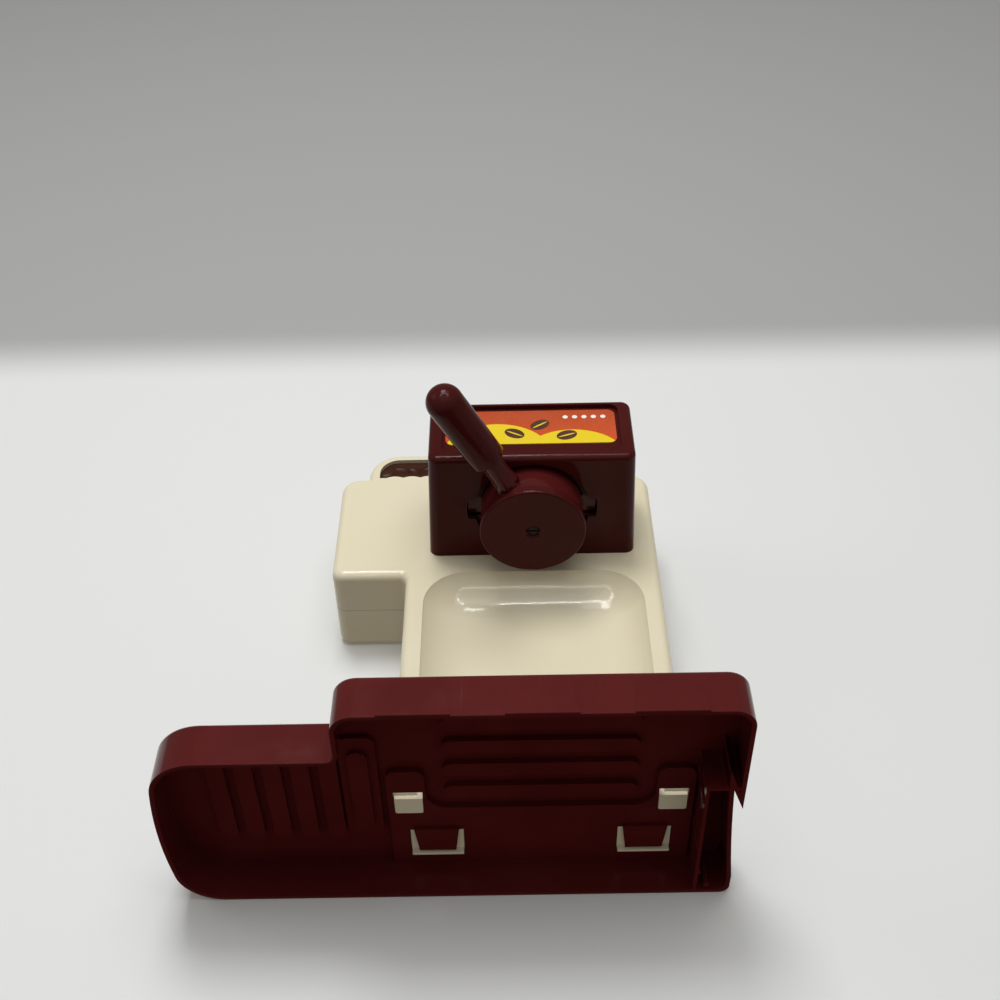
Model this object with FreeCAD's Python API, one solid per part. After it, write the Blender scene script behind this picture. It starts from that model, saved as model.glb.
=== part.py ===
import FreeCAD, Part
import math
import os

# Toy coffee maker, standing upright on its base, front towards -Y, millimetres.
# Places are given by X across, H forward from the flat back, and Z above the rim of the base.

# Driving sizes of the base
base_width = 250.0            # left end of the side shelf to the right wall
machine_width = 169.5         # the wide part of the base that carries the body
machine_depth = 127.5         # back to front of that wide part
shelf_depth = 99.0            # back to front of the side shelf
base_height = 22.0            # rim to tray surface
base_wall = 2.0
shelf_end_bulge = 5.0         # how far the left end curves out
shelf_corner_radius = 21.0
machine_corner_radius = 10.0
inner_corner_radius = 4.0     # where the shelf front meets the machine's side
base_top_round = 3.0
seat_sink = 2.8               # the body's seat lies this far below the tray's surface
seat_gap = 0.4                # gap between the body's sides and the edge of its seat
seat_front = 42.1             # forward edge of the seat behind the tray
ear_front = 68.1              # forward edge of the two ears beside the tray
ear_width = 14.4
ear_blend_radius = 11.0
groove_skin = 1.2             # wall round the grooves and the seat, seen from below
bar_count = 4                 # sunk grooves of the drip tray
bar_length = 84.4
bar_width = 8.4               # across the ridge that a groove makes below
bar_pitch = 15.4
bar_sink = 2.8
first_bar_front = 105.2       # front edge of the foremost groove
shelf_bar_count = 5           # sunk grooves of the side shelf
shelf_bar_length = 62.0
shelf_bar_width = 8.0
shelf_bar_pitch = 12.2
shelf_bar_back = 22.0
shelf_bar_start = 24.9        # first groove's middle, from the left end
rest_width = 16.0             # stepped rest between shelf and tray
rest_inner_width = 8.6
rest_back = 26.0
rest_front = 92.5
rest_inner_front = 85.2
rest_offset = 6.5             # machine's left wall to the rest's middle
rest_sink = 2.5
rest_inner_sink = 4.6
foot_count = 3                # trapezoid feet on the front wall
foot_width = 29.5
foot_top_width = 24.0
foot_height = 14.0
foot_proud = 1.0
foot_pitch = 51.0
window_width = 13.0           # see-through windows under the body
window_length = 15.8
window_back = 39.0
window_spacing = 116.6
window_round = 2.0
pad_length = 10.6             # body's pads that reach into those windows
pad_gap = 0.25
pad_recess = 0.3              # how far a pad stays above the seat's underside
catch_width = 24.4            # windows at the back with a snap tongue below each
catch_back = 10.6
catch_length = 16.4
tongue_width = 20.2
tongue_tip_width = 16.6
tongue_length = 13.4
tongue_root = 2.5             # how far a tongue's root overlaps the seat
tongue_thickness = 1.8
tongue_spacing = 93.5
pocket_width = 10.1           # open well in the rear right corner
pocket_front = 76.0
pocket_wall = 1.6
notch_depth = 4.8             # how far the well's outer wall sits inside the side wall
notch_waist = 1.9             # how far that wall bends back out at its middle
notch_front = 63.0            # where the side wall ends in a point
notch_back = 13.0
stud_radius = 1.3             # round studs along the rim of the well
stud_recess = 0.4
stud_spots = [(-0.3, 0.89), (0.0, 0.445), (0.7, 0.2), (8.0, 1.015), (5.2, 0.065)]

# Driving sizes of the body
body_width = 131.5
body_depth = 52.6
body_top = 233.0
body_wall = 2.0
seam_depth = 27.0             # back to the line between cover and front shell
block_width = 38.5            # wider block at the upper left
block_bottom = 154.3
top_corner_radius = 10.0
block_corner_radius = 6.0
face_round = 4.5
hopper_width = 57.5
hopper_left_inset = 14.5      # block's left side to the hopper's left side
hopper_height = 20.5
hopper_corner_radius = 17.0
hopper_rim = 6.0              # cream border round the bean window
hopper_sink = 2.2             # how deep the beans lie behind the face
hopper_plate = 2.0
hopper_skin = 1.5
hopper_ledge = 2.0
bean_count = 6
bean_length = 9.5
bean_width = 6.4
bean_relief = 0.9
bean_raise = 5.8              # body's top edge to the lower beans' middle
bean_stagger = 1.6
tub_width = 112.0             # dished recess behind the cup's place
tub_top = 156.0
tub_depth = 12.0
tub_corner_radius = 22.0
tub_slope = 7.0               # how much smaller the recess is at its floor, each side
seam_lip = 2.4                # tongue of the front shell inside the cover
seam_lip_wall = 1.2
fit_gap = 0.15                # gap between parts that slip together
hopper_scallop_width = 9.5    # scallops along the lower edge of the bean window
hopper_scallop_rise = 1.2

# Driving sizes of the head
head_width = 107.0
head_front_width = 102.7
head_bottom = 168.4
head_height = 45.6
head_wall = 2.0
head_floor = 2.5
head_corner_radius = 5.0
head_face_round = 3.0
head_boss_length = 14.0       # bosses on the head's side walls for its screws
boss_web = 1.6
label_width = 86.0
label_height = 26.7
label_thickness = 0.6
label_corner_radius = 4.0
label_raise = 2.8             # label's middle above the middle of its recess
frame_width = 89.4            # sunk panel that carries the label
frame_height = 37.0
frame_corner_radius = 4.5
frame_raise = 0.8             # recess's middle above the head's middle
frame_depth = 2.3
frame_backing = 1.1           # wall behind the sunk panel

# Driving sizes of the bayonet socket and the portafilter
cup_radius = 26.0
cup_wall = 2.2
cup_bottom = 155.6
cup_top = 182.0
cup_floor = 2.5
cup_gap = 0.4                 # cup to socket, all round
cup_post_height = 8.0         # boss on the cup's floor for the disc's screw
opening_gap = 3.3             # cup to the rim of the head's opening
lug_width = 10.5
lug_reach = 6.5               # how far a lug stands out of the cup
lug_height = 4.0
lug_lift = 1.5                # lug above the head's floor
notch_gap = 0.5               # lug to the end of its notch
notch_side_gap = 0.75         # lug to each side of its notch
socket_wall = 3.6
socket_height = 15.0
socket_roof = 2.5
socket_lift = 0.3             # gap between socket and head floor
socket_back_gap = 1.9         # socket to the body's front face
socket_front_gap = 0.4        # socket to the inside of the head's front wall
stub_radius = 5.0
stub_length = 9.0
bearing_gap = 0.08
bridge_thickness = 3.5
bridge_width = 14.0
bridge_margin = 12.0          # socket's side to the middle of a bridge post
bridge_collar = 3.0           # wall and height of the collar round the stub
post_radius = 4.0
stop_angle = 46.0             # stop ribs for the lugs, from the insert position
stop_width = 4.0
stop_length = 3.0
stop_gap = 0.4
disc_lip = 0.6                # how far the disc stands out past the cup
disc_thickness = 4.8
disc_round = 1.2
disc_hole_radius = 2.6
disc_sink_radius = 4.2
disc_sink_depth = 1.4
disc_screw_floor = 1.8        # disc left above the screw's head
handle_angle = 28.0           # handle left of straight ahead
handle_droop = 3.0
handle_z = 161.0              # handle axis at the cup's wall
neck_radius = 4.9
neck_root_radius = 6.6
neck_flare = 8.0              # length over which the neck widens to the cup
grip_start = 47.0             # cup axis to the near end of the grip
grip_length = 52.4
grip_radius = 9.0
grip_near_round = 0.8
grip_far_round = 8.6
core_radius = 3.9
core_length = 34.0

# Driving sizes of the screws
screw_radius = 1.4
screw_head_radius = 2.7
screw_head_height = 1.8
boss_radius = 3.6
screw_slot_width = 0.8
screw_slot_depth = 0.8
screw_clearance = 1.0         # hole left past a screw's tip
body_screw_depth = 6.0        # screw head's seat behind the seam of the body
body_screw_length = 16.0
head_screw_bite = 9.0
bridge_screw_bite = 8.0
disc_screw_length = 9.0

# Places that follow from the driving sizes
right_x = base_width / 2.0
left_x = -base_width / 2.0
machine_left = right_x - machine_width
mid_x = (machine_left + right_x) / 2.0
body_left = mid_x - body_width / 2.0
body_right = mid_x + body_width / 2.0
block_left = body_left - block_width
seat_z = base_height - seat_sink
seat_under = seat_z - base_wall
tray_under = base_height - base_wall
socket_radius = cup_radius + cup_gap + socket_wall
cup_h = body_depth + socket_back_gap + socket_radius
head_front = cup_h + socket_radius + socket_front_gap + frame_backing + frame_depth
head_reach = head_front - body_depth
opening_radius = cup_radius + opening_gap
lug_radius = cup_radius + lug_reach
notch_radius = lug_radius + notch_gap
notch_width = lug_width + 2 * notch_side_gap
bridge_reach = socket_radius + bridge_margin
disc_radius = cup_radius + disc_lip
floor_top = head_bottom + head_floor
socket_bottom = floor_top + socket_lift
socket_top = socket_bottom + socket_height
bridge_z = socket_top + socket_lift
lug_bottom = floor_top + lug_lift
frame_z = head_bottom + head_height / 2.0 + frame_raise
label_z = frame_z + label_raise

UP = FreeCAD.Vector(0, 0, 1)
RIGHT = FreeCAD.Vector(1, 0, 0)
FRONT = FreeCAD.Vector(0, -1, 0)
DOWN = FreeCAD.Vector(0, 0, -1)


def at(x, h, z):
    """Point from X, distance forward of the back, and height."""
    return FreeCAD.Vector(x, -h, z)


def box(x0, x1, h0, h1, z0, z1):
    """Straight block between two corners."""
    return Part.makeBox(x1 - x0, h1 - h0, z1 - z0, at(x0, h1, z0))


def cylinder(radius, length, start, axis=UP):
    return Part.makeCylinder(radius, length, start, axis)


def prism(points, direction):
    """Solid from a closed outline of straight sides."""
    outline = Part.makePolygon(points + [points[0]])
    return Part.Face(outline).extrude(direction)


def join(shapes):
    """One solid from several that touch or cross."""
    whole = shapes[0].fuse(shapes[1:]) if len(shapes) > 1 else shapes[0]
    return whole.removeSplitter()


def edges_near(solid, x=None, h=None, z=None, along=None, reach=0.05):
    """Edges whose middle has the given coordinates and whose ends run along one axis."""
    found = []
    for edge in solid.Edges:
        middle = edge.valueAt((edge.FirstParameter + edge.LastParameter) / 2.0)
        if x is not None and abs(middle.x - x) > reach:
            continue
        if h is not None and abs(-middle.y - h) > reach:
            continue
        if z is not None and abs(middle.z - z) > reach:
            continue
        if along is not None:
            ends = edge.Vertexes[-1].Point.sub(edge.Vertexes[0].Point)
            if ends.Length < 0.01 or ends.cross(along).Length > 0.02 * ends.Length:
                continue
        found.append(edge)
    return found


def rounded_plate(x0, x1, z0, z1, h0, h1, radius, corners="all"):
    """Upright plate with rounded corners, facing forward."""
    plate = box(x0, x1, h0, h1, z0, z1)
    zs = {"all": (z0, z1), "top": (z1,), "bottom": (z0,)}[corners]
    edges = []
    for x in (x0, x1):
        for z in zs:
            edges += edges_near(plate, x=x, z=z, along=FRONT)
    return plate.makeFillet(radius, edges)


def rounded_pad(x0, x1, h0, h1, z0, z1, radius):
    """Flat block with rounded corners, seen from above."""
    pad = box(x0, x1, h0, h1, z0, z1)
    edges = []
    for x in (x0, x1):
        for h in (h0, h1):
            edges += edges_near(pad, x=x, h=h, along=UP)
    return pad.makeFillet(radius, edges)


def slot_bar(x0, x1, h0, h1, z0, z1):
    """Bar with fully rounded ends, seen from above."""
    return rounded_pad(x0, x1, h0, h1, z0, z1, min(x1 - x0, h1 - h0) / 2.0 - 0.05)


# Screws
def screw(head_seat, axis, length):
    """Pan-head screw: its head sits on head_seat and its shank runs along axis."""
    back = FreeCAD.Vector(axis).multiply(-screw_head_height)
    head = cylinder(screw_head_radius, screw_head_height, head_seat.add(back), axis)
    shank = cylinder(screw_radius, length, head_seat, axis)
    across = UP if abs(axis.z) < 0.5 else RIGHT
    side = axis.cross(across)
    blocks = []
    for run, width in ((across, side), (side, across)):
        slot = Part.makeBox(2 * screw_head_radius, screw_slot_width, screw_slot_depth)
        slot.translate(FreeCAD.Vector(-screw_head_radius, -screw_slot_width / 2.0, 0))
        rotation = FreeCAD.Rotation(run, width, axis, "XYZ")
        slot.Placement = FreeCAD.Placement(head_seat.add(back), rotation).multiply(slot.Placement)
        blocks.append(slot)
    return head.fuse(shank).cut(blocks)


def screw_hole(head_seat, axis, length):
    """Space for a screw: its pilot hole, a hair wider than the shank."""
    return cylinder(screw_radius + fit_gap, length, head_seat, axis)


# Base
def base_block(inset, z0, z1, corners=True):
    """The outline of the base, moved inwards by inset, as a solid block."""
    end = left_x + inset
    bulge = shelf_end_bulge
    front = shelf_depth - inset
    low = inset
    lower_end = at(end + bulge, low, z0)
    upper_end = at(end + bulge, front, z0)
    side = Part.Arc(lower_end, at(end, (low + front) / 2.0, z0), upper_end).toShape()
    join_x = machine_left + machine_corner_radius + base_wall
    corner_a = at(join_x, front, z0)
    corner_b = at(join_x, low, z0)
    outline = Part.Wire([
        side,
        Part.LineSegment(upper_end, corner_a).toShape(),
        Part.LineSegment(corner_a, corner_b).toShape(),
        Part.LineSegment(corner_b, lower_end).toShape(),
    ])
    shelf = Part.Face(outline).extrude(FreeCAD.Vector(0, 0, z1 - z0))
    machine = box(machine_left + inset, right_x - inset, low, machine_depth - inset, z0, z1)
    block = join([shelf, machine])
    if not corners:
        return block
    rounds = [
        (end + bulge, low, shelf_corner_radius - inset),
        (end + bulge, front, shelf_corner_radius - inset),
        (machine_left + inset, machine_depth - inset, machine_corner_radius - inset),
        (right_x - inset, machine_depth - inset, machine_corner_radius - inset),
        (machine_left + inset, front, inner_corner_radius + inset),
        (right_x - inset, low, machine_corner_radius / 2.0),
    ]
    for x, h, radius in rounds:
        block = block.makeFillet(radius, edges_near(block, x=x, h=h, along=UP))
    return block


def notch_tool(grow, z0, z1):
    """Space outside the well: a pointed cut, then a waisted curve to the rear corner."""
    inner_x = right_x - notch_depth
    point = at(right_x + 0.01, notch_front, z0)
    apex = at(inner_x, pocket_front, z0)
    waist = at(inner_x + notch_waist, (pocket_front + notch_back) / 2.0, z0)
    heel = at(right_x + 0.01, notch_back, z0)
    edges = [
        Part.LineSegment(point, apex).toShape(),
        Part.Arc(apex, waist, heel).toShape(),
        Part.LineSegment(heel, point).toShape(),
    ]
    face = Part.Face(Part.Wire(edges))
    if grow > 0:
        face = face.makeOffset2D(grow, 2)
    return face.extrude(FreeCAD.Vector(0, 0, z1 - z0))


def seat_block(grow, z0, z1):
    """Outline of the body's seat, open to the back: a strip with an ear each side of the tray."""
    x0 = body_left - seat_gap - grow
    x1 = body_right + seat_gap + grow
    ear = ear_width + 2 * grow
    strip = box(x0, x1, -base_wall, seat_front + grow, z0, z1)
    ears = [box(x, x + ear, -base_wall, ear_front + grow, z0, z1) for x in (x0, x1 - ear)]
    seat = join([strip] + ears)
    inner = []
    for x in (x0 + ear, x1 - ear):
        inner += edges_near(seat, x=x, h=seat_front + grow, along=UP)
    seat = seat.makeFillet(ear_blend_radius - grow, inner)
    outer = []
    for x in (x0, x0 + ear, x1 - ear, x1):
        outer += edges_near(seat, x=x, h=ear_front + grow, along=UP)
    return seat.makeFillet(ear_width / 4.0 + grow, outer)


def groove(x0, x1, h0, h1, sink):
    """A sunk slot: the space above it, and the ridge it makes on the underside."""
    ridge = slot_bar(x0, x1, h0, h1, tray_under - sink, base_height)
    skin = groove_skin
    space = slot_bar(x0 + skin, x1 - skin, h0 + skin, h1 - skin, base_height - sink, base_height + 1)
    return space, ridge


def sunk_shapes():
    """Everything pressed down into the tray and the shelf: spaces above, ridges below."""
    half = bar_length / 2.0
    pairs = []
    for number in range(bar_count):
        front = first_bar_front - number * bar_pitch
        pairs.append(groove(mid_x - half, mid_x + half, front - bar_width, front, bar_sink))
    half = shelf_bar_width / 2.0
    for number in range(shelf_bar_count):
        middle = left_x + shelf_bar_start + number * shelf_bar_pitch
        pairs.append(groove(middle - half, middle + half, shelf_bar_back,
                            shelf_bar_back + shelf_bar_length, bar_sink))
    middle = machine_left + rest_offset
    half = rest_inner_width / 2.0
    pairs.append(groove(middle - half, middle + half, rest_back + 4 * groove_skin, rest_inner_front,
                        rest_inner_sink))
    half = rest_width / 2.0
    radius = rest_inner_width / 2.0
    ridge = rounded_pad(middle - half, middle + half, rest_back, rest_front,
                        tray_under - rest_sink, base_height, radius)
    half -= groove_skin
    space = rounded_pad(middle - half, middle + half, rest_back + groove_skin, rest_front - groove_skin,
                        base_height - rest_sink, base_height + 1, radius - groove_skin)
    pairs.append((space, ridge))
    pairs.append((seat_block(0, seat_z, base_height + 1), seat_block(groove_skin, seat_under, base_height)))
    return [pair[0] for pair in pairs], [pair[1] for pair in pairs]


def well_walls():
    """Walls of the well in the rear right corner, with round studs along its rim."""
    side = right_x - notch_depth - pocket_width - pocket_wall
    front = pocket_front + pocket_wall
    walls = [box(side, side + pocket_wall, 0, front, -1, base_height),
             box(side, right_x, pocket_front, front, -1, base_height)]
    for across, share in stud_spots:
        place = at(side + pocket_wall / 2.0 + across, pocket_front * share, stud_recess)
        walls.append(cylinder(stud_radius, base_height - stud_recess, place))
    return walls


def make_base():
    outer = base_block(0, 0, base_height)
    top_edges = [e for e in outer.Edges if abs(e.BoundBox.ZMin - base_height) < 0.01]
    outer = outer.makeFillet(base_top_round, top_edges)
    spaces, ridges = sunk_shapes()
    inner = base_block(base_wall, -1, tray_under).cut(notch_tool(base_wall, -1, base_height + 1))
    inner = inner.cut(ridges + well_walls())
    shell = outer.cut([inner, notch_tool(0, -1, base_height + 1)] + spaces)
    added = []
    for number in range(foot_count):
        middle = mid_x + (number - (foot_count - 1) / 2.0) * foot_pitch
        back = machine_depth - base_wall / 2.0
        outline = [at(middle - foot_width / 2.0, back, 0), at(middle + foot_width / 2.0, back, 0),
                   at(middle + foot_top_width / 2.0, back, foot_height),
                   at(middle - foot_top_width / 2.0, back, foot_height)]
        added.append(prism(outline, FRONT * (base_wall / 2.0 + foot_proud)))
    shell = shell.cut(base_windows())
    return join([shell] + added + [tongue(x) for x in catch_places()])


def window_places():
    return [mid_x - window_spacing / 2.0, mid_x + window_spacing / 2.0]


def catch_places():
    return [mid_x - tongue_spacing / 2.0, mid_x + tongue_spacing / 2.0]


def base_windows():
    """Windows through the seat, two towards the front and two at the back."""
    z0 = seat_under - 1
    z1 = seat_z + 1
    tools = []
    for x in window_places():
        sides = (x - window_width / 2.0, x + window_width / 2.0)
        window = box(*sides, window_back, window_back + window_length, z0, z1)
        low = []
        for corner_x in sides:
            low += edges_near(window, x=corner_x, h=window_back, along=UP)
        tools.append(window.makeFillet(window_round, low))
    for x in catch_places():
        tools.append(box(x - catch_width / 2.0, x + catch_width / 2.0, catch_back,
                         catch_back + catch_length, z0, z1))
    return tools


def tongue(x):
    """Trapezoid snap tongue under a rear window, rooted at the window's front edge."""
    root = catch_back + catch_length + tongue_root
    tip = catch_back + catch_length - tongue_length
    z = seat_under - tongue_thickness
    outline = [at(x - tongue_width / 2.0, root, z), at(x + tongue_width / 2.0, root, z),
               at(x + tongue_tip_width / 2.0, tip, z), at(x - tongue_tip_width / 2.0, tip, z)]
    return prism(outline, UP * tongue_thickness)


# Body
def body_block(inset, h0, h1):
    """Front outline of the body, moved inwards by inset: panel, block and hopper."""
    bottom = seat_z + inset
    top = body_top - inset
    panel = box(body_left + inset, body_right - inset, h0, h1, bottom, top)
    block = box(block_left + inset, body_left + inset + 1, h0, h1, block_bottom + inset, top)
    hopper_x = block_left + hopper_left_inset + inset
    hopper = box(hopper_x, hopper_x + hopper_width - 2 * inset, h0, h1,
                 top - 1, body_top + hopper_height - inset)
    solid = join([panel, block, hopper])
    hopper_top = body_top + hopper_height - inset
    rounds = [
        (block_left + inset, top, top_corner_radius - inset),
        (body_right - inset, top, top_corner_radius - inset),
        (block_left + inset, block_bottom + inset, block_corner_radius - inset),
        (body_left + inset, block_bottom + inset, 3.0 + inset),
        (hopper_x, hopper_top, hopper_corner_radius - inset),
        (hopper_x + hopper_width - 2 * inset, hopper_top, hopper_corner_radius - inset),
    ]
    for x, z, radius in rounds:
        solid = solid.makeFillet(radius, edges_near(solid, x=x, z=z, along=FRONT))
    return solid


def round_face(solid, h, radius):
    """Round every edge of the face at distance h from the back."""
    edges = [e for e in solid.Edges
             if abs(e.BoundBox.YMin + h) < 0.01 and abs(e.BoundBox.YMax + h) < 0.01]
    return solid.makeFillet(radius, edges)


def tub(grow):
    """Dished recess in the front, open at the bottom."""
    mouth = body_depth + 0.5
    slope_at_mouth = tub_slope * 0.5 / tub_depth
    wires = []
    for depth, shrink in ((mouth, -slope_at_mouth), (body_depth - tub_depth - grow, tub_slope)):
        half = tub_width / 2.0 - shrink + grow
        top = tub_top - shrink + grow
        radius = tub_corner_radius - shrink / 2.0 + grow
        bottom = seat_z - 30.0
        plate = rounded_plate(mid_x - half, mid_x + half, bottom, top, depth - 1, depth, radius, "top")
        face = [f for f in plate.Faces if abs(f.CenterOfMass.y + depth) < 0.01][0]
        wires.append(face.OuterWire)
    recess = Part.makeLoft(wires, True, True)
    floor_h = body_depth - tub_depth - grow
    floor_edges = [e for e in recess.Edges
                   if abs(e.BoundBox.YMin + floor_h) < 0.01 and abs(e.BoundBox.YMax + floor_h) < 0.01
                   and e.BoundBox.ZMax > seat_z]
    return recess.makeFillet(tub_depth * 0.45, floor_edges)


def screw_places():
    """Where the four screws hold cover and front shell together, in X and Z."""
    side = boss_radius + body_wall + 3.0
    return [(body_left + side, seat_z + 14.0), (body_right - side, seat_z + 14.0),
            (block_left + side, block_bottom + side), (body_right - side, body_top - side),
            (block_left + side, body_top - side)]


def head_screw_places():
    """Where screws from inside the body hold the head, in X and Z."""
    half = head_front_width / 2.0 - head_corner_radius - boss_radius
    low = floor_top + boss_radius + 1.0
    high = head_bottom + head_height - head_wall - boss_radius - 1.0
    return [(mid_x + side * half, z) for side in (-1, 1) for z in (low, high)]


def make_body():
    outer = round_face(round_face(body_block(0, 0, body_depth), body_depth, face_round), 0, face_round)
    inner = body_block(body_wall, body_wall, body_depth - body_wall)
    recess = tub(0)
    recess_skin = tub(body_wall)
    inner_front = inner.cut(recess_skin)
    shell = outer.cut(inner_front).cut(recess)
    front_half = box(block_left - 5, body_right + 5, seam_depth, body_depth + 5, 0, body_top + 50)
    rear_half = box(block_left - 5, body_right + 5, -5, seam_depth, 0, body_top + 50)
    front = shell.common(front_half)
    rear = shell.common(rear_half)
    boss_start = seam_depth
    for x, z in screw_places():
        seat = at(x, seam_depth - body_screw_depth, z)
        front_post = cylinder(boss_radius, body_depth - body_wall / 2.0 - boss_start, at(x, boss_start, z), FRONT)
        rear_post = cylinder(boss_radius + 0.8, seam_depth - body_wall / 2.0, at(x, body_wall / 2.0, z), FRONT)
        front = front.fuse(front_post.cut(recess_skin))
        rear = rear.fuse(rear_post)
        well = cylinder(screw_head_radius + 2 * fit_gap, seam_depth, at(x, -body_screw_depth, z), FRONT)
        bore = screw_hole(seat, FRONT, body_screw_length + screw_clearance)
        rear = rear.cut([well, bore])
        front = front.cut(bore)
    front = join([front, seam_tongue()] + front_pads())
    rear = join([rear] + rear_pads())
    for x, z in head_screw_places():
        front = front.cut(screw_hole(at(x, body_depth - body_wall - 1, z), FRONT, 2 * body_wall))
    window = hopper_window(0, body_depth - hopper_sink - hopper_plate - 0.5, body_depth + 1)
    front = front.cut(window.cut(hopper_scallops()))
    front = join([front, hopper_frame()])
    return front.removeSplitter(), rear.removeSplitter()


def front_pads():
    """Pads under the front shell that reach into the front pair of windows."""
    half = window_width / 2.0 - pad_gap
    return [box(x - half, x + half, window_back + pad_gap, window_back + pad_length,
                seat_under + pad_recess, seat_z + body_wall) for x in window_places()]


def rear_pads():
    """Pads under the cover that reach into the rear pair of windows."""
    half = catch_width / 2.0 - pad_gap
    end = min(catch_back + catch_length, seam_depth) - pad_gap
    return [box(x - half, x + half, catch_back + pad_gap, end,
                seat_under + pad_recess, seat_z + body_wall) for x in catch_places()]


def seam_tongue():
    """Thin lip of the front shell that reaches into the cover."""
    lip_outer = body_block(body_wall + fit_gap, seam_depth - seam_lip, seam_depth + seam_lip)
    lip_inner = body_block(body_wall + fit_gap + seam_lip_wall, seam_depth - seam_lip - 1,
                           seam_depth + seam_lip + 1)
    root = body_block(body_wall / 2.0, seam_depth + 0.01, seam_depth + seam_lip)
    root = root.cut(body_block(body_wall + fit_gap + seam_lip_wall, seam_depth, seam_depth + seam_lip + 1))
    lip = lip_outer.cut(lip_inner).fuse(root)
    for x, z in screw_places():
        lip = lip.cut(cylinder(boss_radius + 0.8 + fit_gap, seam_lip + 1, at(x, seam_depth - seam_lip - 1, z),
                               FRONT))
    return lip.cut(tub(body_wall))


def hopper_window(grow, h0, h1):
    """Arched window in the hopper, seen from the front."""
    x0 = block_left + hopper_left_inset + hopper_rim - grow
    x1 = block_left + hopper_left_inset + hopper_width - hopper_rim + grow
    z1 = body_top + hopper_height - hopper_rim + grow
    z0 = body_top - 1.0 - grow
    radius = hopper_corner_radius - hopper_rim + grow
    return rounded_plate(x0, x1, z0, z1, h0, h1, min(radius, z1 - z0 - 0.5), "top")


def hopper_scallops():
    """Row of low rounded bumps along the lower edge of the bean window."""
    rise = hopper_scallop_rise
    radius = (hopper_scallop_width ** 2 / 4.0 + rise ** 2) / (2.0 * rise)
    room = hopper_width - 2 * hopper_rim
    count = int(room // hopper_scallop_width)
    start = block_left + hopper_left_inset + hopper_rim + (room - (count - 1) * hopper_scallop_width) / 2.0
    z = body_top - 1.0 + rise - radius
    return [cylinder(radius, body_wall - fit_gap,
                     at(start + number * hopper_scallop_width, body_depth - body_wall + fit_gap, z), FRONT)
            for number in range(count)]


def hopper_frame():
    """Pocket behind the window: side walls and a ledge that the bean plate rests against."""
    back = body_depth - hopper_sink - hopper_plate
    end = body_depth - body_wall / 2.0
    sides = hopper_window(hopper_skin, back - hopper_skin, end)
    sides = sides.cut(hopper_window(0, back - fit_gap, end + 1))
    return sides.cut(hopper_window(-hopper_ledge, back - 3, back + 1))


def make_beans():
    """Brown plate with a row of beans pushed against the window."""
    back = body_depth - hopper_sink - hopper_plate
    plate = hopper_window(-fit_gap, back, back + hopper_plate)
    beans = []
    x0 = block_left + hopper_left_inset + hopper_rim
    room = hopper_width - 2 * hopper_rim
    for number in range(bean_count):
        middle = x0 + room * (number + 0.5) / bean_count
        z = body_top + bean_raise + bean_stagger * (number % 2)
        bean = Part.makeSphere(1.0)
        stretch = FreeCAD.Matrix()
        stretch.scale(bean_length / 2.0, bean_relief, bean_width / 2.0)
        bean = bean.transformGeometry(stretch)
        bean.rotate(FreeCAD.Vector(0, 0, 0), FRONT, 24.0 - 37.0 * (number % 3))
        bean.translate(at(middle, back + hopper_plate, z))
        beans.append(bean)
    limit = hopper_window(-fit_gap, back, body_depth)
    return join([plate] + beans).common(limit).removeSplitter()


def body_screws():
    return [screw(at(x, seam_depth - body_screw_depth, z), FRONT, body_screw_length)
            for x, z in screw_places()]


# Head
def head_solid(inset, floor):
    """Head box that narrows slightly towards its front, moved inwards by inset."""
    wires = []
    back_h = body_depth if inset == 0 else body_depth - 1
    front_h = head_front if inset == 0 else head_front - frame_depth - frame_backing
    draft = (head_width - head_front_width) / 2.0 / head_reach
    for h in (back_h, front_h):
        half = head_width / 2.0 - draft * (h - body_depth) - inset
        low = head_bottom + floor
        high = head_bottom + head_height - inset + draft / 2.0 * (head_front - h)
        plate = rounded_plate(mid_x - half, mid_x + half, low, high, h - 1, h,
                              max(head_corner_radius - inset, 1.0))
        face = [f for f in plate.Faces if abs(f.CenterOfMass.y + h) < 0.01][0]
        wires.append(face.OuterWire)
    return Part.makeLoft(wires, True, True)


def opening_tool(z0, z1):
    """Round opening with a notch at each side for the lugs."""
    hole = cylinder(opening_radius, z1 - z0, at(mid_x, cup_h, z0))
    bar = box(mid_x - notch_radius, mid_x + notch_radius, cup_h - notch_width / 2.0,
              cup_h + notch_width / 2.0, z0, z1)
    ends = cylinder(notch_radius, z1 - z0, at(mid_x, cup_h, z0))
    return hole.fuse(bar.common(ends)).removeSplitter()


def bridge_posts():
    return [(mid_x - bridge_reach, cup_h), (mid_x + bridge_reach, cup_h)]


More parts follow.
